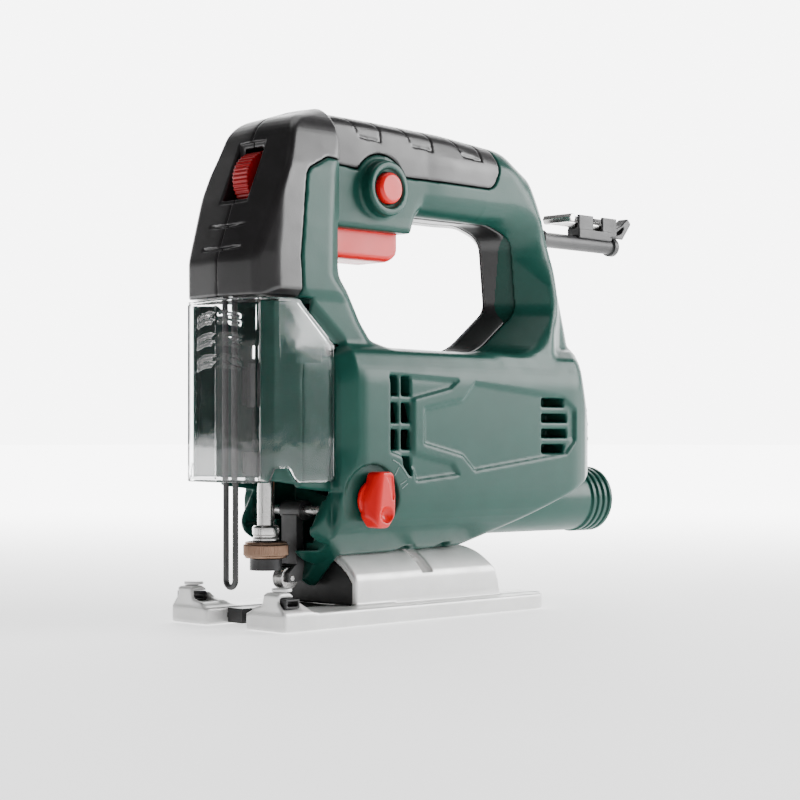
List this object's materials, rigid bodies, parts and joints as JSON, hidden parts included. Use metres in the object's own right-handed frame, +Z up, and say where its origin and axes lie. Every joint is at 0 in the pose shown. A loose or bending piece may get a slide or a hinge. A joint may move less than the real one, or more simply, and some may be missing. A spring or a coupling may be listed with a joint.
{
  "type": "corded jigsaw power tool",
  "caption": "Handheld corded jigsaw with a D-handle, a tilting cast footplate, an orbital lever and a clear chip shield.",
  "frame": {"origin": "on the plunger's axis, in the plane of the footplate's sole", "axes": "-X is the cutting direction and +X the cable end, +Z up from the sole along the plunger, -Y the side with the orbital lever and the lock button"},
  "size_m": [0.2645, 0.0734, 0.2128],
  "materials": {
    "green_plastic": "satin, finely textured",
    "grip_rubber": "matt soft grip",
    "sleeve_rubber": "matt",
    "black_plastic": "satin",
    "red_plastic": "gloss",
    "cast_alloy": "blasted casting",
    "bright_steel": "turned",
    "dark_steel": "blackened",
    "carbon": "pressed carbon",
    "bronze": "dull",
    "copper": "enamelled",
    "clear_plastic": "clear"
  },
  "bodies": {
    "housing": {"housing_left": "green_plastic", "housing_right": "green_plastic", "grip_left": "grip_rubber", "grip_right": "grip_rubber", "housing_screws": "bright_steel", "gear_housing": "cast_alloy", "gear_housing_screws": "bright_steel", "upper_guide": "cast_alloy", "lower_bush": "bronze", "upper_bush": "bronze", "stator_core": "dark_steel", "stator_windings": "copper", "front_bearing": "bright_steel", "rear_bearing": "bright_steel", "brush_holders": "bronze", "carbon_brushes": "carbon", "brush_springs": "bright_steel", "switch_body": "black_plastic", "speed_controller": "black_plastic", "wiring": "black_plastic", "cable_clamp": "black_plastic", "cable_clamp_screws": "bright_steel", "strain_relief": "sleeve_rubber", "key_holder": "black_plastic", "dust_port": "green_plastic", "guard_wire": "bright_steel", "fork_pin": "bright_steel", "gear_axle": "bright_steel", "bevel_clamp_plate": "bright_steel", "bevel_screw": "bright_steel", "trigger_spring": "bright_steel"},
    "armature": {"armature_shaft": "bright_steel", "armature_core": "dark_steel", "armature_windings": "copper", "commutator": "copper", "fan": "black_plastic", "pinion": "bright_steel"},
    "gear": {"drive_gear": "bright_steel", "crank_pin": "bright_steel", "balance_weight": "dark_steel"},
    "plunger": {"plunger_rod": "bright_steel", "yoke": "dark_steel", "chuck_collar": "bright_steel", "chuck_body": "dark_steel"},
    "chuck_ring": {"chuck_sleeve": "bronze"},
    "fork": {"roller_fork": "dark_steel", "roller_pin": "bright_steel"},
    "roller": {"support_roller": "bright_steel"},
    "lever": {"orbital_lever": "red_plastic", "orbital_cam": "dark_steel"},
    "trigger": {"trigger": "red_plastic"},
    "lock": {"lock_button": "red_plastic"},
    "wheel": {"speed_wheel": "red_plastic"},
    "foot": {"footplate": "cast_alloy", "foot_insert": "black_plastic", "fence_screws": "cast_alloy"},
    "shield": {"chip_shield": "clear_plastic"},
    "key": {"hex_key": "bright_steel"}
  },
  "joints": [
    {"name": "armature_spin", "type": "hinge", "parent": "housing", "child": "armature", "pos_m": [0.08, 0, 0.08], "axis": [1, 0, 0], "continuous": true},
    {"name": "gear_spin", "type": "hinge", "parent": "housing", "child": "gear", "pos_m": [0.02, 0, 0.10615], "axis": [1, 0, 0], "continuous": true},
    {"name": "plunger_slide", "type": "slide", "parent": "housing", "child": "plunger", "axis": [0, 0, 1], "range_m": [0, 0.018]},
    {"name": "chuck_turn", "type": "hinge", "parent": "plunger", "child": "chuck_ring", "pos_m": [0, 0, 0.03], "axis": [0, 0, 1], "range_deg": [0, 60], "stiffness_Nm_per_rad": 0.03, "springref_deg": -11.46},
    {"name": "fork_swing", "type": "hinge", "parent": "housing", "child": "fork", "pos_m": [0.0165, 0, 0.046], "axis": [0, 1, 0], "range_deg": [0, 2.5]},
    {"name": "roller_spin", "type": "hinge", "parent": "fork", "child": "roller", "pos_m": [0.0105, 0, 0.0182], "axis": [0, 1, 0], "continuous": true},
    {"name": "lever_turn", "type": "hinge", "parent": "housing", "child": "lever", "pos_m": [0.03, -0.036, 0.0505], "axis": [0, -1, 0], "range_deg": [0, 150]},
    {"name": "trigger_pull", "type": "slide", "parent": "housing", "child": "trigger", "axis": [0, 0, 1], "range_m": [0, 0.006], "stiffness_N_per_m": 600, "springref_m": -0.003, "deforming": ["trigger_spring"]},
    {"name": "lock_press", "type": "slide", "parent": "housing", "child": "lock", "axis": [0, 1, 0], "range_m": [0, 0.0025], "stiffness_N_per_m": 500, "springref_m": -0.002},
    {"name": "wheel_turn", "type": "hinge", "parent": "housing", "child": "wheel", "pos_m": [-0.0024, 0, 0.18], "axis": [0, 1, 0], "range_deg": [-135, 135]},
    {"name": "foot_tilt", "type": "hinge", "parent": "housing", "child": "foot", "pos_m": [0, 0, 0], "axis": [1, 0, 0], "range_deg": [-45, 45]},
    {"name": "shield_slide", "type": "slide", "parent": "housing", "child": "shield", "axis": [-1, 0, 0], "range_m": [0, 0.03]},
    {"name": "key_lift", "type": "slide", "parent": "housing", "child": "key", "axis": [0, 0, 1], "range_m": [0, 0.012]}
  ],
  "couplings": [
    {"joint": "gear_spin", "follows": "armature_spin", "ratio": -0.18182}
  ]
}
